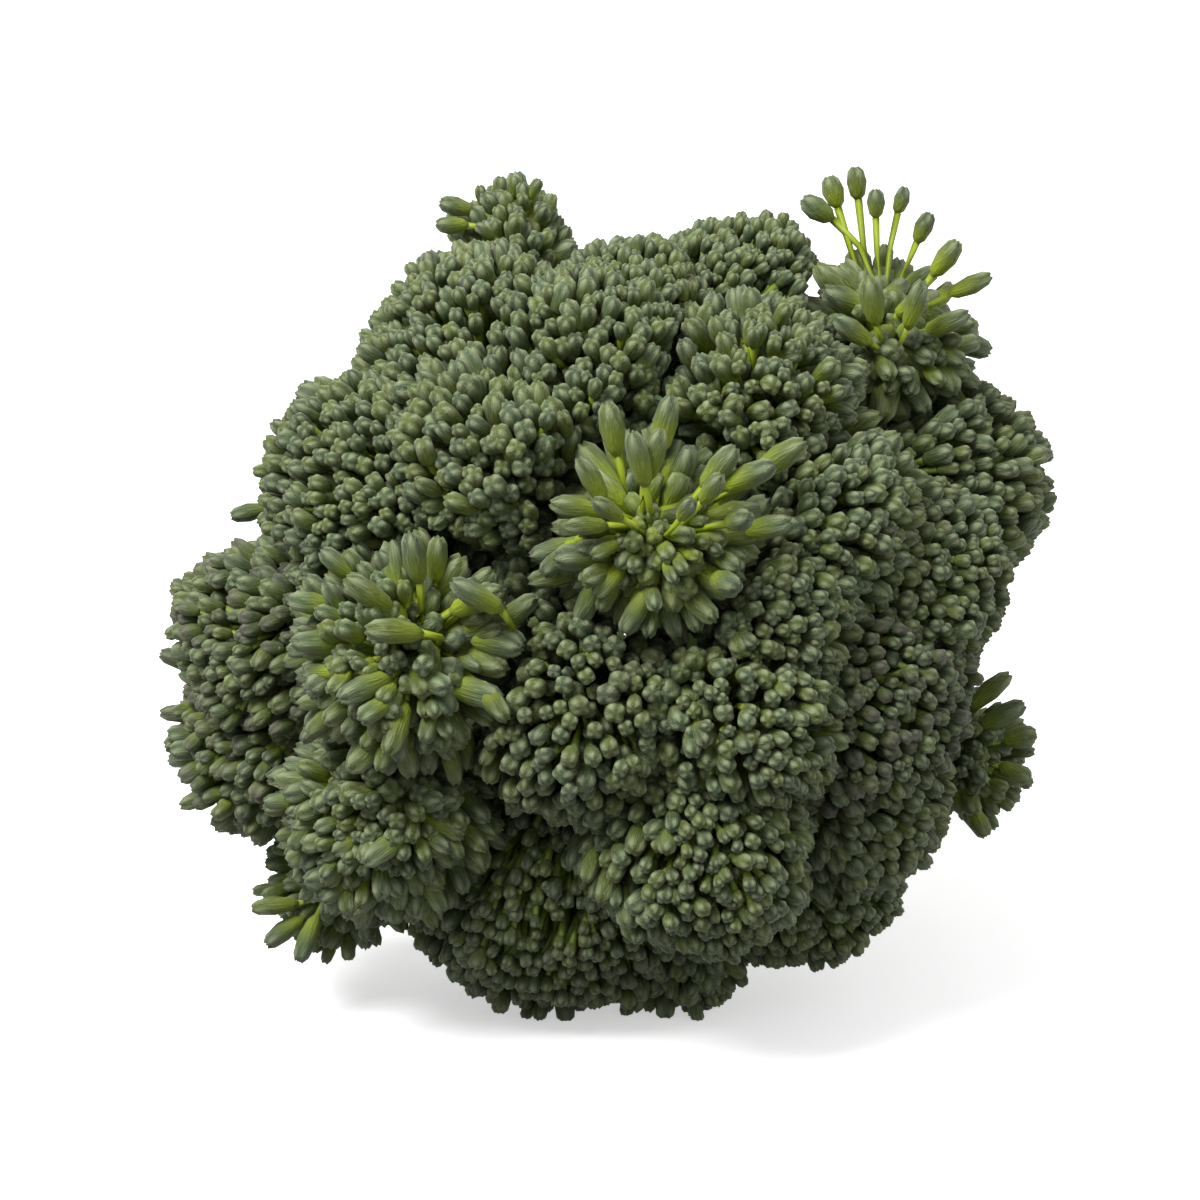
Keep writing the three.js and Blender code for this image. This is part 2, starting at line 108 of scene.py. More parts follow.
# Buds that stand out one by one: place of the tip across, up and forward from the middle of the flowers,
# the way it points (across, up, forward), length and width.
LOOSE_BUDS = {
    "01b": [(-24, 59.5, 2, -1.0, 0.25, 0.2, 5.2, 2.9), (-24.5, 56, 3, -1.0, 0.0, 0.25, 5.0, 2.8)],
    "02a": [(-55, 12.5, 6, -1.0, -0.2, 0.1, 6.0, 2.7)],
    "03a": [
        (-33, -4, 49, -1.0, 0.1, 0.4, 8.6, 3.8), (-21, 2.5, 48, -0.9, 0.5, 0.4, 8.8, 3.6),
        (-36, 3, 46, -0.9, 0.6, 0.4, 8.4, 3.7), (-27, 9.5, 45, -0.2, 1.0, 0.4, 8.0, 3.4),
        (-14, 1.5, 45, 0.9, 0.4, 0.5, 9.0, 3.7), (-11, -7, 43, 1.0, -0.2, 0.5, 8.5, 3.5),
        (-13, -17, 43, 0.7, -0.8, 0.5, 8.0, 3.4), (-37, -14, 46, -0.9, -0.4, 0.5, 9.0, 3.7),
        (-30, -22, 44, -0.3, -1.0, 0.4, 8.8, 3.6), (-44, -6, 41, -1.0, 0.0, 0.4, 8.8, 3.6),
    ],
    "07a": [
        (30, 59.5, 8, -0.8, 0.5, 0.2, 5.6, 3.6), (34, 63, 7, -0.3, 1.0, 0.1, 5.0, 3.3),
        (38, 64.5, 6, -0.1, 1.0, 0.1, 5.0, 3.3), (41, 61, 8, 0.0, 1.0, 0.2, 4.4, 2.7),
        (45.5, 61.5, 6, 0.3, 1.0, 0.1, 4.2, 2.6), (49, 57.5, 8, 0.4, 0.9, 0.2, 5.0, 2.8),
        (53, 53, 12, 0.6, 0.8, 0.2, 6.5, 3.2), (25, 42, 17, -1.0, 0.35, 0.3, 7.6, 4.6),
        (58, 48, 10, 0.9, 0.4, 0.2, 7.0, 3.0), (31.5, 49, 17, -0.7, 0.7, 0.4, 8.0, 3.6),
        (39, 47, 24, -0.2, 1.0, 0.4, 7.6, 3.6), (47, 46.5, 23, 0.3, 1.0, 0.4, 7.8, 3.3),
        (54, 42, 19, 0.9, 0.4, 0.4, 7.6, 3.2), (34, 41, 24, -0.8, 0.5, 0.5, 7.4, 3.5),
    ],
    "09a": [
        (-3, 20, 51, -0.55, 0.9, 0.3, 7.6, 3.3), (4.5, 23.5, 54, -0.25, 1.0, 0.35, 8.4, 3.3),
        (8.5, 24, 52, 0.25, 1.0, 0.3, 7.6, 3.2), (-7, 13.5, 50, -1.0, 0.15, 0.3, 8.2, 3.2),
        (-5, 10.5, 50, -1.0, 0.0, 0.3, 6.4, 2.9), (24.5, 19, 51, 1.0, 0.45, 0.3, 8.4, 3.6),
        (29, 22.5, 45, 0.9, 0.6, 0.3, 9.4, 3.7), (27, 11, 48, 1.0, 0.2, 0.4, 7.6, 3.6),
        (19.5, 1.5, 50, 0.9, -0.4, 0.9, 5.4, 3.8), (21, 11.5, 54, 0.8, 0.2, 1.0, 5.0, 3.4),
        (17, 17.5, 55, 0.5, 0.7, 0.5, 5.6, 2.9), (13, 14, 56, 0.4, 0.6, 0.7, 4.6, 2.5),
        (19, 21.5, 51, 0.7, 0.9, 0.3, 7.8, 3.6), (-1, 14, 54, -0.8, 0.5, 0.5, 5.6, 2.6),
    ],
    "10b": [
        (-66, -17, 0, -1.0, 0.0, 0.2, 8.0, 3.0), (-63, -31, 0, -0.9, -0.4, 0.2, 8.0, 3.0),
        (-55.5, -35, 2, -0.5, -0.9, 0.2, 8.5, 3.1), (-66, -8, 0, -1.0, 0.3, 0.2, 7.5, 3.0),
    ],
    "11a": [
        (-43, -41, 24, -1.0, -0.25, 0.4, 9.2, 3.7), (-45, -33, 25, -1.0, 0.0, 0.4, 8.8, 3.5),
        (-36, -46, 23, -0.6, -0.8, 0.4, 9.0, 3.6), (-27, -46, 24, 0.1, -1.0, 0.4, 8.6, 3.5),
        (-34, -38, 33, -0.8, -0.6, 0.4, 9.0, 3.7), (-38, -27, 31, -1.0, 0.3, 0.4, 8.6, 3.5),
    ],
    "11b": [
        (-52, -46, 4, -1.0, -0.1, 0.1, 7.2, 3.0), (-45, -54, 4, -0.4, -1.0, 0.1, 7.6, 3.1),
        (-50, -51.5, 3, -0.8, -0.6, 0.1, 7.2, 3.0),
    ],
    "13b": [
        (61.5, -11, 0, 0.7, 0.6, 0.1, 8.4, 3.3), (63.5, -15.5, 2, 0.8, 0.45, 0.2, 8.0, 3.4),
        (65.5, -20, 0, 1.0, 0.2, 0.1, 5.5, 3.4), (64.5, -27, 0, 0.9, -0.4, 0.1, 5.2, 3.1),
        (58, -35.5, 0, 0.5, -0.9, 0.1, 5.0, 3.0),
    ],
}
# Buds that only close gaps between florets, given in the same way.
GAP_BUDS = {
    "09a": [
        (1, 28, 44, -0.2, 1.0, 0.2, 8.0, 3.6), (10, 29, 43, 0.2, 1.0, 0.2, 8.4, 3.7),
        (5.8, 24.7, 33, 0.0, 0.4, 1.0, 7.0, 4.0), (9.5, 26, 32, 0.2, 0.5, 1.0, 6.8, 3.8),
        (2.5, 25.5, 33, -0.2, 0.4, 1.0, 6.8, 3.8), (6, 28, 31, 0.0, 0.6, 1.0, 6.6, 3.8),
    ],
    "12a": [
        (-13.2, 0.2, 32, -0.3, 0.5, 1.0, 6.8, 3.8), (-11.2, -7.6, 33, -0.3, 0.3, 1.0, 6.8, 3.8),
        (-6.5, -7.3, 36, 0.0, 0.3, 1.0, 6.2, 3.4), (-13.5, -4, 32, -0.4, 0.3, 1.0, 6.8, 3.8),
        (-12.5, 3.2, 34, -0.2, 0.4, 1.0, 6.8, 3.8), (-14.5, 5.6, 33, -0.4, 0.5, 1.0, 6.8, 3.8),
        (-12, 6.4, 34, 0.0, 0.6, 1.0, 6.8, 3.8), (-15.5, 3.0, 33, -0.5, 0.3, 1.0, 6.6, 3.8),
    ],
}


# ---- The bunch's own directions, from the band that holds it ----
def corners_of(name):
    """Vertices of a CAD node in millimetres."""
    mesh = NODES[name].data
    place = np.empty(len(mesh.vertices) * 3)
    mesh.vertices.foreach_get("co", place)
    return place.reshape(-1, 3) / MM


def triangles_of(name):
    mesh = NODES[name].data
    mesh.calc_loop_triangles()
    corners = np.empty(len(mesh.loop_triangles) * 3, dtype=np.int64)
    mesh.loop_triangles.foreach_get("vertices", corners)
    return corners.reshape(-1, 3)


def unit(vectors):
    return vectors / np.maximum(np.linalg.norm(vectors, axis=-1, keepdims=True), 1e-9)


def eased(share):
    """A share from 0 to 1 that starts and ends gently."""
    return share * share * (3 - 2 * share)


FLOWERS_FROM_BAND = 100.0
FAN_FROM_BAND = 45.0
CORE_AHEAD_OF_FLOWERS = 14.0
band_corners = corners_of("rubber_band")
BAND_MIDDLE = (band_corners.min(axis=0) + band_corners.max(axis=0)) / 2
ACROSS = np.array([1.0, 0.0, 0.0])
_, _, band_axes = np.linalg.svd(band_corners - BAND_MIDDLE, full_matrices=False)
FORWARD = unit(band_axes[2] * -np.sign(band_axes[2][1]))
UP = np.cross(FORWARD, ACROSS)
FLOWERS = BAND_MIDDLE + FLOWERS_FROM_BAND * FORWARD
FAN = BAND_MIDDLE + FAN_FROM_BAND * FORWARD
CORE = FLOWERS + CORE_AHEAD_OF_FLOWERS * FORWARD


# ---- Mesh helpers ----
def new_piece(name, vertices, faces, materials, face_material=None, attributes=None):
    """A smooth-shaded object from arrays in millimetres, with named vertex attributes."""
    mesh = bpy.data.meshes.new(name)
    mesh.from_pydata((vertices * MM).tolist(), [], faces)
    for material in materials:
        mesh.materials.append(material)
    mesh.polygons.foreach_set("use_smooth", np.ones(len(mesh.polygons), dtype=bool))
    if face_material is not None:
        mesh.polygons.foreach_set("material_index", face_material)
    for label, values in (attributes or {}).items():
        kind = "FLOAT" if values.ndim == 1 else "FLOAT_VECTOR"
        field = "value" if values.ndim == 1 else "vector"
        layer = mesh.attributes.new(label, kind, "POINT")
        layer.data.foreach_set(field, values.astype(np.float32).ravel())
    mesh.update()
    piece = bpy.data.objects.new(name, mesh)
    bpy.context.scene.collection.objects.link(piece)
    return piece


def side_directions(along):
    """Two unit vectors square to each given unit vector."""
    helper = np.where(np.abs(along[..., 2:3]) < 0.9, [[0.0, 0.0, 1.0]], [[1.0, 0.0, 0.0]])
    first = unit(np.cross(helper, along))
    return first, np.cross(along, first)


# ---- Flower buds ----
# Rings of a bud from its base to its tip: place along it, half-width of a grown and of a young bud
# (against the widest), how square it is, and how deep the seams between its four sepals are.
BUD_RINGS = np.array([
    [0.00, 0.24, 0.34, 0.00, 0.00],
    [0.05, 0.46, 0.60, 0.01, 0.00],
    [0.16, 0.72, 0.84, 0.02, 0.00],
    [0.34, 0.93, 0.97, 0.03, 0.01],
    [0.54, 1.00, 1.00, 0.04, 0.02],
    [0.73, 0.93, 1.00, 0.05, 0.03],
    [0.87, 0.76, 0.94, 0.09, 0.05],
    [0.95, 0.56, 0.80, 0.13, 0.11],
    [0.99, 0.32, 0.50, 0.18, 0.20],
])
TIP_DIMPLE = 0.955
SEPALS = 4


def bud_template(sides, rings):
    """Ring table and faces of a bud with the given number of sides, its base and tip closed."""
    table = BUD_RINGS[rings]
    faces = []
    for ring in range(len(table) - 1):
        for side in range(sides):
            after = (side + 1) % sides
            low, high = ring * sides, (ring + 1) * sides
            faces.append((low + side, low + after, high + after, high + side))
    tip = len(table) * sides
    last = tip - sides
    faces += [(last + side, last + (side + 1) % sides, tip) for side in range(sides)]
    faces.append(tuple(reversed(range(sides))))
    return table, faces, sides


FINE_BUD = bud_template(16, [0, 2, 4, 6, 8])
COARSE_BUD = bud_template(8, [0, 2, 4, 6, 8])
HIDDEN_BUD = bud_template(6, [0, 4, 7])


def grow_buds(template, buds):
    """Vertices, faces and attributes of many buds at once. buds holds arrays, one row for each bud."""
    table, faces, sides = template
    count = len(buds["tip"])
    turn = np.arange(sides) / sides * 2 * math.pi
    square = np.cos(SEPALS * turn)
    seam = np.exp(-((((turn / (2 * math.pi) * SEPALS) % 1) - 0.5) / 0.1) ** 2)
    place, grown, young, squareness, seams = (column[None, :] for column in table.T)
    age = buds["age"][:, None]
    half = grown * age + young * (1 - age)
    shape = half[:, :, None] * (1 + squareness[0][None, :, None] * square - seams[0][None, :, None] * seam)
    height = np.broadcast_to(place, half.shape)[:, :, None] + 0.25 * (seams[0] ** 1.5)[None, :, None] * square
    x = shape * np.cos(turn)
    y = shape * np.sin(turn)
    tip_height = np.full((count, 1), TIP_DIMPLE)
    x = np.concatenate([x.reshape(count, -1), np.zeros((count, 1))], axis=1)
    y = np.concatenate([y.reshape(count, -1), np.zeros((count, 1))], axis=1)
    z = np.concatenate([height.reshape(count, -1), tip_height], axis=1)
    bend = buds["bend"][:, None] * (z - 0.5) ** 2
    along = buds["along"]
    first, second = side_directions(along)
    spin = buds["spin"][:, None]
    right = first * np.cos(spin) + second * np.sin(spin)
    left = second * np.cos(spin) - first * np.sin(spin)
    base = buds["tip"] - along * buds["length"][:, None]
    half_width = buds["width"][:, None] / 2
    vertices = (
        base[:, None, :]
        + along[:, None, :] * (z * buds["length"][:, None])[:, :, None]
        + right[:, None, :] * ((x + bend) * half_width)[:, :, None]
        + left[:, None, :] * (y * half_width)[:, :, None]
    )
    per_bud = x.shape[1]
    offsets = np.arange(count) * per_bud
    all_faces = [tuple(offset + corner for corner in face) for offset in offsets.tolist() for face in faces]
    grain = np.stack([x, y, z * 0.35], axis=2)
    grain[:, :, 2] += 3.7 * buds["tone"][:, None]
    attributes = {"along": np.clip(z, 0, 1).ravel(), "grain": grain.reshape(-1, 3)}
    for label in ("tone", "yellow", "blush"):
        attributes[label] = np.repeat(buds[label], per_bud)
    return vertices.reshape(-1, 3), all_faces, attributes


# ---- Flower stalks ----
def grow_stalks(starts, middles, ends, radii_start, radii_end, sides, steps, flare=0.0):
    """Tapered tubes along quadratic curves, closed at both ends. The first five arguments have a row each."""
    count = len(starts)
    share = np.linspace(0, 1, steps + 1)[None, :, None]
    spine = (
        starts[:, None, :] * (1 - share) ** 2
        + 2 * middles[:, None, :] * share * (1 - share)
        + ends[:, None, :] * share**2
    )
    tangent = unit(np.gradient(spine, axis=1))
    first, second = side_directions(tangent)
    turn = np.arange(sides) / sides * 2 * math.pi
    flat = share[:, :, 0]
    radius = radii_start[:, None] * (1 - flat) + radii_end[:, None] * flat
    radius = radius * (1 + flare * flat**6)
    ring = (
        first[:, :, None, :] * np.cos(turn)[None, None, :, None]
        + second[:, :, None, :] * np.sin(turn)[None, None, :, None]
    )
    vertices = spine[:, :, None, :] + ring * radius[:, :, None, None]
    per_stalk = (steps + 1) * sides
    faces = []
    for stalk in range(count):
        start = stalk * per_stalk
        for step in range(steps):
            low, high = start + step * sides, start + (step + 1) * sides
            for side in range(sides):
                after = (side + 1) % sides
                faces.append((low + side, low + after, high + after, high + side))
        faces.append(tuple(start + side for side in reversed(range(sides))))
        faces.append(tuple(start + steps * sides + side for side in range(sides)))
    along = np.broadcast_to(flat[:, :, None], (count, steps + 1, sides)).reshape(-1)
    return vertices.reshape(-1, 3), faces, along


# ---- Materials ----
def node_material(name):
    material = bpy.data.materials.new(name)
    material.use_nodes = True
    nodes = material.node_tree.nodes
    nodes.clear()
    shader = nodes.new("ShaderNodeBsdfPrincipled")
    output = nodes.new("ShaderNodeOutputMaterial")
    material.node_tree.links.new(shader.outputs["BSDF"], output.inputs["Surface"])
    return material, material.node_tree, shader


def attribute(tree, name, output="Fac"):
    node = tree.nodes.new("ShaderNodeAttribute")
    node.attribute_name = name
    return node.outputs[output]


def joined(tree, value, socket):
    if hasattr(value, "is_output"):
        tree.links.new(value, socket)
    else:
        socket.default_value = value


def sums(tree, operation, first, second=0.0, third=0.0, clamp=False):
    node = tree.nodes.new("ShaderNodeMath")
    node.operation = operation
    node.use_clamp = clamp
    joined(tree, first, node.inputs[0])
    joined(tree, second, node.inputs[1])
    joined(tree, third, node.inputs[2])
    return node.outputs[0]


def ramped(tree, value, low, high, to_low=0.0, to_high=1.0):
    """A value taken smoothly from one range to another."""
    node = tree.nodes.new("ShaderNodeMapRange")
    node.interpolation_type = "SMOOTHSTEP"
    joined(tree, value, node.inputs["Value"])
    node.inputs["From Min"].default_value = low
    node.inputs["From Max"].default_value = high
    node.inputs["To Min"].default_value = to_low
    node.inputs["To Max"].default_value = to_high
    return node.outputs["Result"]


def mixed(tree, factor, first, second):
    node = tree.nodes.new("ShaderNodeMix")
    node.data_type = "RGBA"
    joined(tree, factor, node.inputs["Factor"])
    joined(tree, (*first, 1.0) if isinstance(first, tuple) else first, node.inputs["A"])
    joined(tree, (*second, 1.0) if isinstance(second, tuple) else second, node.inputs["B"])
    return node.outputs["Result"]


def mottled(tree, vector, scale, detail=3.0):
    node = tree.nodes.new("ShaderNodeTexNoise")
    node.inputs["Scale"].default_value = scale
    node.inputs["Detail"].default_value = detail
    tree.links.new(vector, node.inputs["Vector"])
    return node.outputs["Fac"]


def stretched(tree, scale):
    """Object coordinates scaled by a different amount each way."""
    coordinates = tree.nodes.new("ShaderNodeTexCoord")
    mapping = tree.nodes.new("ShaderNodeMapping")
    mapping.inputs["Scale"].default_value = scale
    tree.links.new(coordinates.outputs["Object"], mapping.inputs["Vector"])
    return mapping.outputs["Vector"]


def bumped(tree, shader, height, strength, distance):
    node = tree.nodes.new("ShaderNodeBump")
    node.inputs["Strength"].default_value = strength
    node.inputs["Distance"].default_value = distance
    tree.links.new(height, node.inputs["Height"])
    tree.links.new(node.outputs["Normal"], shader.inputs["Normal"])


# Deep green is the buds' own darker green and also painted shade, laid on their bases where they sit in shade
# among the other buds.
DEEP_GREEN_AND_SHADE = (0.012, 0.021, 0.004)
BLUE_BLOOM = (0.084, 0.125, 0.062)
OLIVE_BLOOM = (0.118, 0.155, 0.033)
PALE_BLOOM = (0.310, 0.355, 0.190)
BASE_YELLOW = (0.300, 0.380, 0.018)
# Purple-grey: the buds' own purple, and also painted shade that darkens the florets that lie in shade.
PURPLE_AND_SHADE_GREY = (0.085, 0.074, 0.062)


def bud_material():
    material, tree, shader = node_material("bud_skin")
    along = attribute(tree, "along")
    tone = attribute(tree, "tone")
    grain = attribute(tree, "grain", "Vector")
    streaks = mottled(tree, grain, 7.0, 5.0)
    patches = mottled(tree, grain, 1.1, 2.0)
    split = tree.nodes.new("ShaderNodeSeparateXYZ")
    tree.links.new(grain, split.inputs[0])
    across, over = (sums(tree, "ABSOLUTE", split.outputs[side]) for side in (0, 1))
    ridge = sums(tree, "ABSOLUTE", sums(tree, "SUBTRACT", across, over))
    ridge = ramped(tree, ridge, 0.05, 0.8)
    # How far each bud goes from deep green to bloom: paler with bloom towards the tip, and darker towards the
    # base as painted shade; tone, streaks and patches vary it at random.
    bloom_over_shade = sums(tree, "MULTIPLY_ADD", along, 0.55, 0.05)
    bloom_over_shade = sums(tree, "MULTIPLY_ADD", tone, 0.40, bloom_over_shade)
    bloom_over_shade = sums(tree, "MULTIPLY_ADD", ramped(tree, streaks, 0.35, 0.68), 0.55, bloom_over_shade)
    bloom_over_shade = sums(tree, "MULTIPLY_ADD", patches, 0.2, bloom_over_shade)
    bloom_over_shade = sums(tree, "SUBTRACT", bloom_over_shade, 0.28, clamp=True)
    hue = ramped(tree, sums(tree, "FRACT", sums(tree, "MULTIPLY", tone, 7.0)), 0.1, 0.9)
    color = mixed(tree, bloom_over_shade, DEEP_GREEN_AND_SHADE, mixed(tree, hue, BLUE_BLOOM, OLIVE_BLOOM))
    edge = sums(tree, "MULTIPLY", ramped(tree, along, 0.55, 1.0), sums(tree, "MULTIPLY", ridge, 0.9))
    color = mixed(tree, edge, color, PALE_BLOOM)
    veins = sums(tree, "MULTIPLY", ramped(tree, streaks, 0.56, 0.72), 0.45)
    color = mixed(tree, veins, color, PALE_BLOOM)
    # Purple-grey towards the tips: the buds' own purple, and painted shade on the florets that lie in shade.
    blush = sums(tree, "MULTIPLY", ramped(tree, along, 0.35, 0.98), attribute(tree, "blush"))
    color = mixed(tree, blush, color, PURPLE_AND_SHADE_GREY)
    yellow = attribute(tree, "yellow")
    base = sums(tree, "MULTIPLY", ramped(tree, along, 0.85, 0.05), yellow)
    base = sums(tree, "MULTIPLY_ADD", sums(tree, "SUBTRACT", yellow, 1.0, clamp=True), 0.5, base)
    color = mixed(tree, base, color, BASE_YELLOW)
    tree.links.new(color, shader.inputs["Base Color"])
    shader.inputs["Roughness"].default_value = 0.58
    shader.inputs["Specular IOR Level"].default_value = 0.28
    shader.inputs["Sheen Weight"].default_value = 0.10
    shader.inputs["Sheen Roughness"].default_value = 0.5
    bumped(tree, shader, streaks, 0.6, 0.0006)
    return material


def stalk_material():
    material, tree, shader = node_material("flower_stalk_skin")
    along = attribute(tree, "along")
    tone = mottled(tree, stretched(tree, (900, 900, 900)), 0.6, 2.0)
    green = mixed(tree, ramped(tree, tone, 0.3, 0.7), (0.090, 0.140, 0.022), (0.180, 0.250, 0.040))
    bright = sums(tree, "MULTIPLY", ramped(tree, along, 0.0, 0.8), attribute(tree, "yellow"))
    color = mixed(tree, bright, green, BASE_YELLOW)
    tree.links.new(color, shader.inputs["Base Color"])
    shader.inputs["Roughness"].default_value = 0.45
    shader.inputs["Specular IOR Level"].default_value = 0.35
    bumped(tree, shader, tone, 0.2, 0.0003)
    return material


def stem_material():
    material, tree, shader = node_material("stem_skin")
    ribs = mottled(tree, stretched(tree, (700, 60, 700)), 1.0, 3.0)
    patches = mottled(tree, stretched(tree, (70, 35, 70)), 1.0, 3.0)
    color = mixed(tree, ramped(tree, patches, 0.3, 0.7), (0.185, 0.275, 0.085), (0.320, 0.425, 0.180))
    rib_share = sums(tree, "MULTIPLY", ramped(tree, ribs, 0.45, 0.75), 0.35)
    color = mixed(tree, rib_share, color, (0.400, 0.480, 0.290))
    tree.links.new(color, shader.inputs["Base Color"])
    shader.inputs["Roughness"].default_value = 0.42
    shader.inputs["Specular IOR Level"].default_value = 0.4
    bumped(tree, shader, ribs, 0.25, 0.0005)
    return material


def cut_material():
    material, tree, shader = node_material("cut_face")
    grain = mottled(tree, stretched(tree, (1, 1, 1)), 900.0, 3.0)
    rim = attribute(tree, "rim")
    color = mixed(tree, ramped(tree, grain, 0.3, 0.7), (0.560, 0.620, 0.330), (0.700, 0.730, 0.470))
    color = mixed(tree, ramped(tree, rim, 0.55, 0.75), color, (0.430, 0.540, 0.210))
    color = mixed(tree, ramped(tree, rim, 0.85, 1.0), color, (0.200, 0.300, 0.090))
    tree.links.new(color, shader.inputs["Base Color"])
    shader.inputs["Roughness"].default_value = 0.55
    bumped(tree, shader, grain, 0.3, 0.0004)
    return material


def leaf_material():
    material, tree, shader = node_material("leaf_skin")
    vein = attribute(tree, "vein")
    patches = mottled(tree, stretched(tree, (160, 160, 160)), 1.0, 4.0)
    fine = mottled(tree, stretched(tree, (900, 900, 900)), 1.0, 3.0)
    color = mixed(tree, ramped(tree, patches, 0.3, 0.7), (0.045, 0.095, 0.028), (0.110, 0.180, 0.070))
    color = mixed(tree, sums(tree, "MULTIPLY", vein, 0.8), color, (0.280, 0.380, 0.160))
    tree.links.new(color, shader.inputs["Base Color"])
    shader.inputs["Roughness"].default_value = 0.45
    bumped(tree, shader, fine, 0.3, 0.0004)
    return material


def band_material():
    material, tree, shader = node_material("rubber_skin")
    speckle = mottled(tree, stretched(tree, (1, 1, 1)), 1500.0, 3.0)
    patches = mottled(tree, stretched(tree, (120, 120, 120)), 1.0, 2.0)
    color = mixed(tree, ramped(tree, patches, 0.3, 0.7), (0.300, 0.190, 0.090), (0.400, 0.270, 0.140))
    color = mixed(tree, sums(tree, "MULTIPLY", speckle, 0.3), color, (0.520, 0.400, 0.240))
    tree.links.new(color, shader.inputs["Base Color"])
    shader.inputs["Roughness"].default_value = 0.6
    bumped(tree, shader, speckle, 0.25, 0.0003)
    return material


BUD_SKIN = bud_material()
STALK_SKIN = stalk_material()
STEM_SKIN = stem_material()
CUT_SKIN = cut_material()
LEAF_SKIN = leaf_material()
BAND_SKIN = band_material()

# ---- Florets ----
floret_names = sorted(name for name in NODES if name.startswith("floret_"))
stem_names = sorted(name for name in NODES if name.startswith("stem_"))
leaf_names = sorted(name for name in NODES if name.startswith("leaf_"))
HIDDEN_WITHIN = 9.0  # a neighbour this close in front hides a place
FINE_BEYOND = -14.0  # buds that face forward are made fine when further forward of FLOWERS than this
CANDIDATES = 4200  # places tried on each floret
CROWDING = 0.84  # usual spacing of the buds, against their width
FAR_SIDE_SPACING = 0.3  # how much wider the spacing is on a floret's back
CROWN_EDGE = 108  # degrees from the middle of the crown to its last buds
GROWN_AT = 75  # degrees from the middle of the crown to the full-grown buds
CUP_EDGE = 55  # degrees from the middle of the crown to the rim of its cup
HEART_EDGE = 50  # degrees from the middle of the crown to the end of its yellower heart
HEART_CUP = 7.0  # depth of a cup that would make its heart twice as yellow
WIDTH_SPREAD = (0.74, 1.24)  # the narrowest and the widest bud, against the usual width
CLUSTER_LEAN = 0.22  # how far buds lean out from the middle of their cluster
RANDOM_LEAN = 0.17  # how far buds lean at random
CLUSTER_SINK = 0.9  # how far the edge of a cluster is sunk
LOOSE_STALK = 0.72  # how thick the stalk of a bud placed one by one is, against the others
STALK_RADIUS = 0.30  # of a stalk, before what its bud's width adds
STALK_PER_WIDTH = 0.11  # what is added for each millimetre of a bud's width
STALK_LAST_START = 95  # degrees from the middle of the crown to buds whose stalks leave the branch's end
HUB_STALK = (2.3, 0.9)  # radius of a floret's thick stalk at the branch and at the hub
LOWEST = 0.02  # nothing of a floret is closer to the ground
# The layer of buds under the outer one: its depth in the open and where a neighbour is pressed against the
# floret, its spacing against its buds' width, their size against the outer layer's, and how far round the
# crown it goes, in degrees.
UNDER = dict(depth=3.2, at_neighbour=0.3, spacing=1.3, size=1.1, within=95)


def tree_of(names):
    places, corners, start = [], [], 0
    for name in names:
        place = corners_of(name)
        places.append(place)
        corners.append(triangles_of(name) + start)
        start += len(place)
    return BVHTree.FromPolygons(np.concatenate(places).tolist(), np.concatenate(corners).tolist())


def scattered(name, rng, count):
    """Points spread evenly by area over a CAD node."""
    place = corners_of(name)
    a, b, c = (place[corner] for corner in triangles_of(name).T)
    area = np.linalg.norm(np.cross(b - a, c - a), axis=1)
    pick = rng.choice(len(area), count, p=area / area.sum())
    first, second = rng.random((2, count, 1))
    over = first + second > 1
    first, second = np.where(over, 1 - first, first), np.where(over, 1 - second, second)
    return a[pick] + first * (b[pick] - a[pick]) + second * (c[pick] - a[pick])


def clear_ahead(others, points, ways):
    """Which points have nothing of the other florets close in front of them."""
    return np.array([
        others.ray_cast(Vector(point - 0.8 * way), Vector(way), HIDDEN_WITHIN)[0] is None
        for point, way in zip(points, ways)
    ])


BRANCH_TIP = 6.0


def branch_end(stem, middle, axis, radius):
    """Where the branch of a stem ends inside a floret, from the corners within BRANCH_TIP of its top."""
    place = corners_of(stem)
    offset = place - middle
    height = offset @ axis
    away = np.linalg.norm(offset - height[:, None] * axis, axis=1)
    inside = place[(away < 0.5 * radius) & (height < 0.2 * radius)]
    top = inside[np.argmax((inside - middle) @ axis)]
    return inside[np.linalg.norm(inside - top, axis=1) < BRANCH_TIP].mean(axis=0)


def spaced(points, spacing, rng):
    """Indices of points kept so that no two are closer than their spacing."""
    kept = []
    kept_points = np.empty((len(points), 3))
    kept_spacing = np.empty(len(points))
    for index in rng.permutation(len(points)):
        count = len(kept)
        gap = np.linalg.norm(kept_points[:count] - points[index], axis=1)
        if np.all(gap > (kept_spacing[:count] + spacing[index]) / 2):
            kept_points[count] = points[index]
            kept_spacing[count] = spacing[index]
            kept.append(index)
    return np.array(kept)


def cluster_of(points, size, rng):
    """The middle of the cluster that each point is in, and how far out in it the point is, from 0 to 1."""
    hearts = points[spaced(points, np.full(len(points), size), rng)]
    apart = np.linalg.norm(points[:, None, :] - hearts[None, :, :], axis=2)
    nearest = apart.argmin(axis=1)
    share = np.clip(apart[np.arange(len(points)), nearest] / (0.6 * size), 0, 1)
    return hearts[nearest], share[:, None]


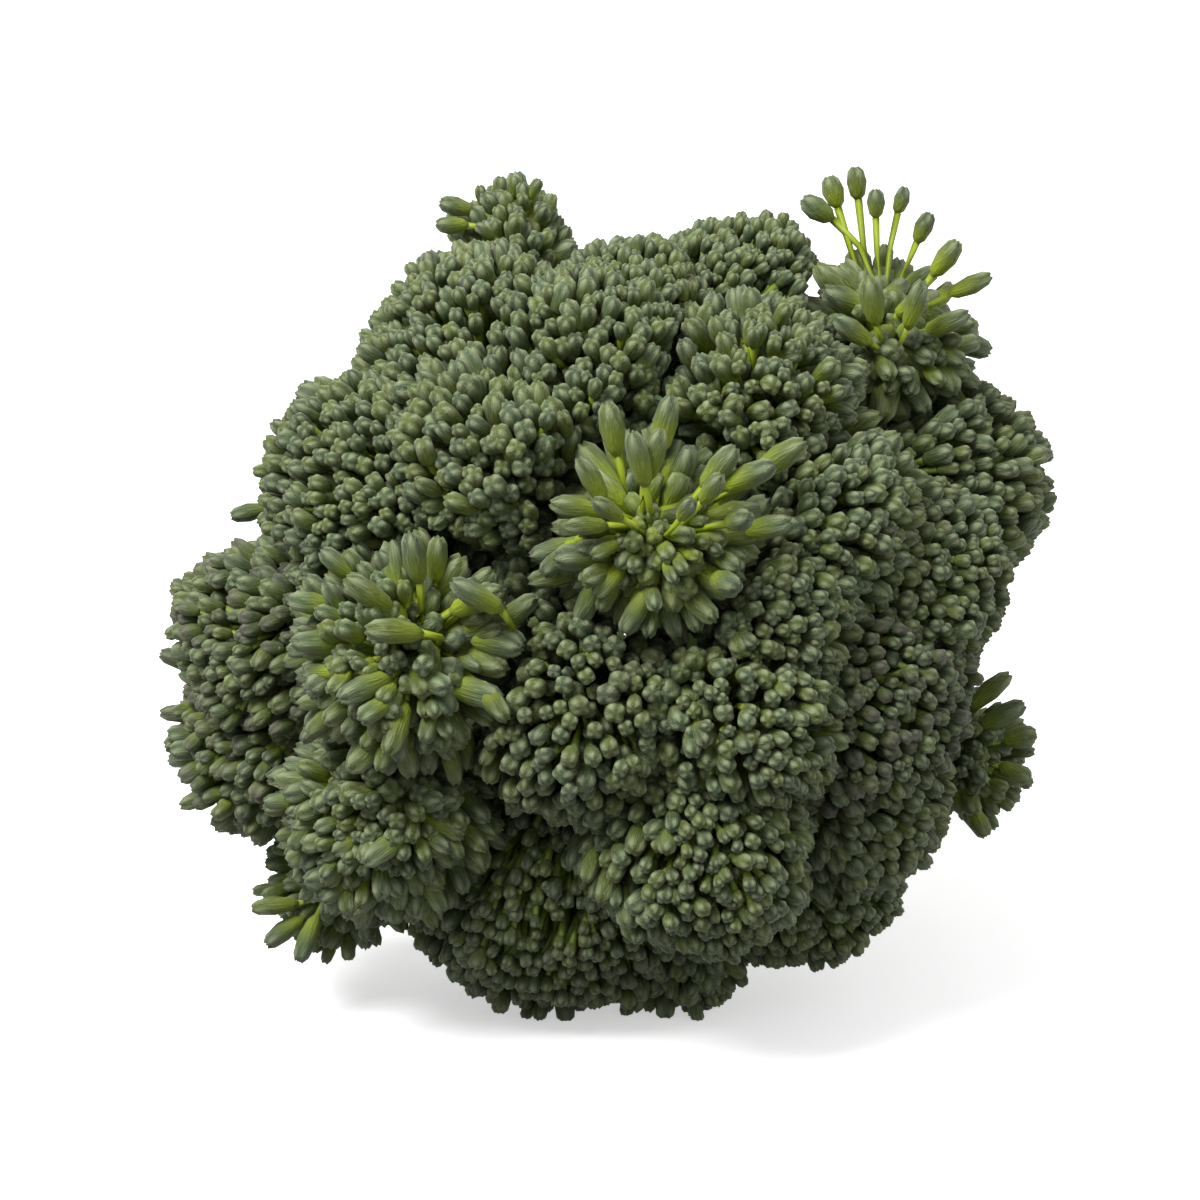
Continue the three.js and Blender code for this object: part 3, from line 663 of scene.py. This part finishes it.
def bud_layer(look, rng, points, polar, shape, depth, spacing, size):
    """Buds spread over a floret, at a depth below its surface."""
    middle, axis, radius = shape
    outward = unit(points - middle)
    grown = eased(np.clip(polar / GROWN_AT, 0, 1))
    width = (look["young"] + (look["grown"] - look["young"]) * grown) * size
    width = width * rng.uniform(*WIDTH_SPREAD, len(points))
    behind = np.clip(-(outward @ FORWARD), 0, 1)
    kept = spaced(points, width * spacing * (1 + FAR_SIDE_SPACING * behind), rng)
    points, outward, polar, grown, width, depth = (
        values[kept] for values in (points, outward, polar, grown, width, depth)
    )
    count = len(points)
    fan = middle + axis * look["open"] * radius
    along = unit(points - fan) + look["swept"] * unit(points - CORE)
    heart, share = cluster_of(points, look["cluster"], rng)
    lean = CLUSTER_LEAN * share * unit(points - heart)
    along = unit(unit(along) + lean + RANDOM_LEAN * rng.normal(size=(count, 3)))
    ripe = np.clip(grown + rng.uniform(-0.25, 0.2, count), 0, 1)
    length = width * (look["short"] + (look["long"] - look["short"]) * ripe)
    cup = look["cup"] * np.clip(1 - polar / CUP_EDGE, 0, 1)
    sunk = (depth + cup)[:, None] + CLUSTER_SINK * share**2
    tip = points - outward * sunk + along * rng.uniform(-1.2, 0.6, (count, 1)) * look["ragged"]
    return dict(
        tip=tip, along=along, length=length, width=width, age=np.clip(ripe * 1.1 - 0.05, 0, 1),
        bend=rng.uniform(-0.5, 0.5, count), spin=rng.uniform(0, math.pi, count), tone=rng.random(count),
        yellow=look["yellow"] * rng.uniform(0.4, 1.15, count) * heart_glow(look, polar),
        blush=look["blush"] * rng.random(count) ** 1.5, polar=polar, depth=depth, stout=np.ones(count),
    )


def heart_glow(look, polar):
    """How much yellower the buds are towards the middle of a crown that has opened into a cup."""
    return 1 + look["cup"] / HEART_CUP * np.clip(1 - polar / HEART_EDGE, 0, 1)


def loose_layer(look, rng, loose):
    """Buds placed one by one, each on a slender stalk."""
    rows = np.array(loose)
    count = len(rows)
    directions = np.stack([ACROSS, UP, FORWARD])
    return dict(
        tip=FLOWERS + rows[:, :3] @ directions, along=unit(rows[:, 3:6] @ directions),
        length=rows[:, 6], width=rows[:, 7], age=np.ones(count),
        bend=rng.uniform(-0.5, 0.5, count), spin=rng.uniform(0, math.pi, count),
        tone=rng.random(count), yellow=look["yellow"] * rng.uniform(0.6, 1.15, count),
        blush=look["blush"] * rng.random(count), polar=rng.uniform(0, 25, count), depth=np.zeros(count),
        stout=np.full(count, LOOSE_STALK),
    )


def in_bare_sector(bare, offset, polar):
    """Which places lie where an open floret shows its stalks."""
    start, stop, inner, outer = bare
    heading = np.degrees(np.arctan2(offset @ UP, offset @ ACROSS))
    return ((heading - start) % 360 < stop - start) & (polar > inner) & (polar < outer)


def bud_places(name, look, rng, middle, axis):
    """Places on a floret, their angle from its crown, which are in the open and which get an outer bud."""
    others = tree_of([other for other in floret_names if other != name])
    points = scattered(name, rng, CANDIDATES)
    crown = unit(axis + look["crown"][0] * ACROSS + look["crown"][1] * UP)
    outward = unit(points - middle)
    polar = np.degrees(np.arccos(np.clip(outward @ crown, -1, 1)))
    seen = np.zeros(len(points), dtype=bool)
    for ways in (outward, unit(outward + 1.5 * unit(points - FLOWERS)), unit(outward + 1.5 * axis)):
        seen |= clear_ahead(others, points, ways)
    outer = seen & (polar < CROWN_EDGE)
    if look["bare"]:
        outer &= ~in_bare_sector(look["bare"], points - middle, polar)
    return points, polar, seen, outer


def bud_parts(buds):
    """The buds, made finest where they face the front and plainest in the hidden layer."""
    hidden = buds["depth"] > 0
    near = (buds["tip"] - FLOWERS) @ FORWARD > FINE_BEYOND
    fine = near & (buds["along"] @ FORWARD > 0.1) & ~hidden
    parts = []
    for template, chosen in ((FINE_BUD, fine), (COARSE_BUD, ~fine & ~hidden), (HIDDEN_BUD, hidden)):
        if chosen.any():
            parts.append((*grow_buds(template, {label: rows[chosen] for label, rows in buds.items()}), 0))
    return parts


def stalk_parts(look, buds, shape, end):
    """A stalk to each bud from the floret's hub, and the thick stalk that the hub is the top of."""
    middle, axis, radius = shape
    hidden = buds["depth"] > 0
    base = buds["tip"] - buds["along"] * (buds["length"] * 0.97)[:, None]
    top = middle + axis * look["hub"] * radius
    share = np.clip(buds["polar"] / STALK_LAST_START, 0, 1)[:, None]
    start = top + (end - top) * share**0.8
    reach = np.linalg.norm(base - start, axis=1)[:, None]
    bend = base - buds["along"] * reach * 0.45
    thick = (STALK_RADIUS + STALK_PER_WIDTH * buds["width"]) * buds["stout"]
    parts = []
    for sides, steps, chosen in ((4, 3, ~hidden), (3, 2, hidden)):
        vertices, faces, sweep = grow_stalks(
            start[chosen], bend[chosen], base[chosen],
            thick[chosen] * 1.1, thick[chosen] * 0.85, sides, steps, 0.5,
        )
        parts.append((vertices, faces, stalk_attributes(sweep, look), 1))
    right, _ = side_directions(axis[None, :])
    hub_middle = (end + top) / 2 + right[0] * 0.4
    vertices, faces, sweep = grow_stalks(
        (end - axis * 1.0)[None, :], hub_middle[None, :], top[None, :],
        *np.array(HUB_STALK)[:, None], 10, 8,
    )
    parts.append((vertices, faces, stalk_attributes(sweep, look), 1))
    return parts


def grow_floret(name, rng):
    key = name.removeprefix("floret_")
    look = {**DEFAULT, **FLORET_LOOKS[key]}
    place = corners_of(name)
    middle = place.mean(axis=0)
    radius = np.percentile(np.linalg.norm(place - middle, axis=1), 80)
    axis = unit(middle - FAN)
    end = branch_end("stem_" + key[:2], middle, axis, radius)
    points, polar, seen, outer = bud_places(name, look, rng, middle, axis)
    shape = (middle, axis, radius)
    depth = np.zeros(outer.sum())
    spacing = CROWDING * look["loose"]
    layers = [bud_layer(look, rng, points[outer], polar[outer], shape, depth, spacing, 1.0)]
    under = outer | (polar < UNDER["within"])
    depth = np.where(seen, UNDER["depth"], UNDER["at_neighbour"])[under]
    spacing, size = UNDER["spacing"], UNDER["size"]
    layers.append(bud_layer(look, rng, points[under], polar[under], shape, depth, spacing, size))
    placed = LOOSE_BUDS.get(key, []) + GAP_BUDS.get(key, [])
    if placed:
        layers.append(loose_layer(look, rng, placed))
    buds = {label: np.concatenate([layer[label] for layer in layers]) for label in layers[0]}
    return joined_piece(key + "_buds", bud_parts(buds) + stalk_parts(look, buds, shape, end))


def stalk_attributes(sweep, look):
    blank = np.zeros(len(sweep))
    return {
        "along": sweep, "grain": np.zeros((len(sweep), 3)), "tone": blank, "yellow": blank + look["yellow"],
        "blush": blank,
    }


def joined_piece(name, parts):
    """One object from parts of (vertices, faces, attributes, material index), none of it below ground."""
    start, all_faces, slots = 0, [], []
    for vertices, faces, _, slot in parts:
        all_faces += [tuple(corner + start for corner in face) for face in faces]
        slots += [slot] * len(faces)
        start += len(vertices)
    attributes = {
        label: np.concatenate([part[2][label] for part in parts]) for label in parts[0][2]
    }
    vertices = np.concatenate([part[0] for part in parts])
    vertices[:, 2] = np.maximum(vertices[:, 2], LOWEST)
    return new_piece("floret_" + name, vertices, all_faces, [BUD_SKIN, STALK_SKIN], slots, attributes)


for number, name in enumerate(floret_names):
    piece = grow_floret(name, np.random.default_rng(100 + number))
    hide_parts(name)
    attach(piece, "root")


# ---- Stems ----
STEM_VOXEL = 1.3
SMOOTHING = 6
SWELL = 0.25  # makes up for what the smoothing takes off
CUT_BACK = 0.7  # from the end of the solid to the cut face
CUT_RINGS = (0.94, 0.8, 0.6, 0.35)


def evaluated_mesh(piece):
    graph = bpy.context.evaluated_depsgraph_get()
    return bpy.data.meshes.new_from_object(piece.evaluated_get(graph))


def ordered_rim(edges):
    """The vertices of a closed loop of edges, in order."""
    loop = list(edges[0].verts)
    left = set(edges[1:])
    while left:
        step = next((edge for edge in left if loop[-1] in edge.verts), None)
        if step is None:
            break
        left.remove(step)
        loop.append(step.other_vert(loop[-1]))
    return loop[:-1] if loop[0] == loop[-1] else loop


def close_cut(shape, rim, layer):
    """A cut face of rings that shrink from the rim to the middle, marked with how far out they are."""
    centre = sum((vertex.co for vertex in rim), Vector()) / len(rim)
    outer = [shape.verts.new(vertex.co) for vertex in rim]
    faces = []
    for vertex in outer:
        vertex[layer] = 1.0
    for share in CUT_RINGS:
        inner = [shape.verts.new(centre + (vertex.co - centre) * share) for vertex in rim]
        for vertex in inner:
            vertex[layer] = share
        for i in range(len(rim)):
            faces.append(shape.faces.new((outer[i - 1], outer[i], inner[i], inner[i - 1])))
        outer = inner
    middle = shape.verts.new(centre)
    for i in range(len(rim)):
        faces.append(shape.faces.new((outer[i - 1], outer[i], middle)))
    for face in faces:
        face.material_index = 1
    bmesh.ops.recalc_face_normals(shape, faces=faces)
    shape.normal_update()
    if faces[0].normal.dot(Vector(FORWARD)) > 0:
        bmesh.ops.reverse_faces(shape, faces=faces)


def grow_stem(name):
    """A smooth skin over a stem's solid, with a clean cut face."""
    piece = bpy.data.objects.new(name + "_skin", NODES[name].data.copy())
    bpy.context.scene.collection.objects.link(piece)
    remesh = piece.modifiers.new("remesh", "REMESH")
    remesh.mode = "VOXEL"
    remesh.voxel_size = STEM_VOXEL * MM
    smooth = piece.modifiers.new("smooth", "SMOOTH")
    smooth.factor = 0.5
    smooth.iterations = SMOOTHING
    mesh = evaluated_mesh(piece)
    piece.modifiers.clear()
    ends = corners_of(name)
    lowest = (ends @ FORWARD).min()
    shape = bmesh.new()
    shape.from_mesh(mesh)
    layer = shape.verts.layers.float.new("rim")
    for vertex in shape.verts:
        vertex.co += vertex.normal * SWELL * MM
    cut = Vector(FORWARD * (lowest + CUT_BACK) * MM)
    every = shape.verts[:] + shape.edges[:] + shape.faces[:]
    sliced = bmesh.ops.bisect_plane(
        shape, geom=every, plane_co=cut, plane_no=Vector(-FORWARD), clear_outer=True,
    )
    rim = ordered_rim([item for item in sliced["geom_cut"] if isinstance(item, bmesh.types.BMEdge)])
    for face in shape.faces:
        face.smooth = True
        face.material_index = 0
    close_cut(shape, rim, layer)
    finished = bpy.data.meshes.new(name + "_skin")
    finished.materials.append(STEM_SKIN)
    finished.materials.append(CUT_SKIN)
    shape.to_mesh(finished)
    shape.free()
    piece.data = finished
    return piece


for name in stem_names:
    piece = grow_stem(name)
    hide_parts(name)
    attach(piece, "root")


# ---- Leaves ----
def grow_leaf(name):
    """A blade with a midrib, side veins and a wavy edge, on a short stalk."""
    place = corners_of(name)
    away = place - (FAN + ((place - FAN) @ FORWARD)[:, None] * FORWARD)
    distance = np.linalg.norm(away, axis=1)
    root = place[np.argsort(distance)[:6]].mean(axis=0)
    tip = place[np.argmax(np.linalg.norm(place - root, axis=1))]
    length = np.linalg.norm(tip - root)
    along = (tip - root) / length
    outward = unit(away[np.argmax(distance)])
    across = unit(np.cross(along, outward))
    facing = np.cross(across, along)
    steps, sides = 36, 10
    s = np.linspace(0, 1, steps + 1)[:, None]
    c = np.linspace(-1, 1, 2 * sides + 1)[None, :]
    blade = eased(np.clip((s - 0.14) / 0.3, 0, 1))
    taper = np.sqrt(1 - np.clip((s - 0.5) / 0.5, 0, 1) ** 2.2)
    width = length * (0.035 + 0.25 * blade * taper)
    wave = blade * np.abs(c) ** 2 * (1.1 * np.sin(16 * s + 3 * np.sign(c)) + 0.6 * np.sin(29 * s + 1.3))
    lift = 0.30 * np.abs(c) * width * blade + wave - 0.06 * length * s**2
    side = c * width * (1 + 0.04 * np.sin(40 * s + 2 * np.sign(c)))
    grid = (
        root + along * (s * length + 0 * c)[:, :, None]
        + across * side[:, :, None] + facing * lift[:, :, None]
    )
    midrib = np.exp(-((c * width / 0.7) ** 2))
    rib_place = (s * 9 - np.abs(c) * 1.6 * width / length * 4) % 1
    side_rib = np.exp(-(((rib_place - 0.5) / 0.10) ** 2)) * blade * np.clip(1.2 - np.abs(c), 0, 1)
    vein = np.clip(midrib + 0.6 * side_rib, 0, 1)
    grid -= facing * (0.35 * vein)[:, :, None]
    columns = 2 * sides + 1
    faces = []
    for row in range(steps):
        for corner in range(row * columns, (row + 1) * columns - 1):
            faces.append((corner, corner + 1, corner + columns + 1, corner + columns))
    vein = np.broadcast_to(vein, grid.shape[:2])
    piece = new_piece(name + "_blade", grid.reshape(-1, 3), faces, [LEAF_SKIN], None, {"vein": vein.ravel()})
    solid = piece.modifiers.new("thickness", "SOLIDIFY")
    solid.thickness = 0.5 * MM
    solid.offset = 0
    piece.data = evaluated_mesh(piece)
    piece.modifiers.clear()
    return piece


for name in leaf_names:
    piece = grow_leaf(name)
    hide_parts(name)
    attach(piece, "root")


# ---- Rubber band ----
def grow_band():
    """The band's loop with its edges rounded."""
    piece = bpy.data.objects.new("rubber_band_skin", NODES["rubber_band"].data.copy())
    bpy.context.scene.collection.objects.link(piece)
    shape = bmesh.new()
    shape.from_mesh(piece.data)
    bmesh.ops.remove_doubles(shape, verts=shape.verts[:], dist=0.001 * MM)
    bmesh.ops.dissolve_limit(shape, angle_limit=math.radians(1), verts=shape.verts[:], edges=shape.edges[:])
    sharp = [edge for edge in shape.edges if edge.calc_face_angle(0) > math.radians(60)]
    bmesh.ops.bevel(shape, geom=sharp, offset=0.45 * MM, segments=3, profile=0.5, affect="EDGES")
    for face in shape.faces:
        face.smooth = True
    shape.to_mesh(piece.data)
    shape.free()
    piece.data.materials.clear()
    piece.data.materials.append(BAND_SKIN)
    return piece


band = grow_band()
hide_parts("rubber_band")
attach(band, "root")


# ---- Floor, light and camera ----
def flat_floor():
    half = 20000.0
    corners = np.array([[-half, -half, 0], [half, -half, 0], [half, half, 0], [-half, half, 0]])
    material, tree, shader = node_material("floor_paper")
    grain = mottled(tree, stretched(tree, (1, 1, 1)), 400.0, 2.0)
    color = mixed(tree, grain, (0.90, 0.90, 0.90), (0.94, 0.94, 0.94))
    tree.links.new(color, shader.inputs["Base Color"])
    shader.inputs["Roughness"].default_value = 0.9
    shader.inputs["Emission Color"].default_value = (1.0, 1.0, 1.0, 1.0)
    shader.inputs["Emission Strength"].default_value = 0.5
    return new_piece("floor", corners, [(0, 1, 2, 3)], [material])


floor = flat_floor()
floor.visible_diffuse = False


def aimed(thing, place, target):
    thing.location = Vector(place)
    thing.rotation_euler = (Vector(target) - Vector(place)).to_track_quat("-Z", "Y").to_euler()


def area_light(name, place, size, power):
    light = bpy.data.lights.new(name, "AREA")
    light.shape = "DISK"
    light.size = size
    light.energy = power
    thing = bpy.data.objects.new(name, light)
    bpy.context.scene.collection.objects.link(thing)
    aimed(thing, place, FLOWERS * MM)


area_light("key", (-0.50, -0.45, 0.95), 0.6, 16.0)
area_light("fill", (0.6, -0.8, 0.7), 0.8, 1.0)
area_light("side", (1.0, 0.1, 0.35), 0.6, 2.4)


def studio_world():
    """Soft white light from above that fades to near black below the horizon."""
    world = bpy.data.worlds.new("studio")
    world.use_nodes = True
    tree = world.node_tree
    coordinates = tree.nodes.new("ShaderNodeTexCoord")
    split = tree.nodes.new("ShaderNodeSeparateXYZ")
    tree.links.new(coordinates.outputs["Generated"], split.inputs[0])
    background = tree.nodes["Background"]
    tree.links.new(ramped(tree, split.outputs[2], -0.3, 0.8, 0.04, 0.66), background.inputs["Strength"])
    background.inputs["Color"].default_value = (1.0, 1.0, 1.0, 1.0)
    return world


world = studio_world()
bpy.context.scene.world = world
bpy.context.scene.view_settings.view_transform = "Standard"

VIEW_WIDTH = 180.0
VIEW_DISTANCE = 800.0
camera_data = bpy.data.cameras.new("camera")
camera_data.lens = camera_data.sensor_width * VIEW_DISTANCE / VIEW_WIDTH
camera = bpy.data.objects.new("camera", camera_data)
bpy.context.scene.collection.objects.link(camera)
aimed(camera, (FLOWERS + VIEW_DISTANCE * FORWARD) * MM, FLOWERS * MM)
bpy.context.scene.camera = camera
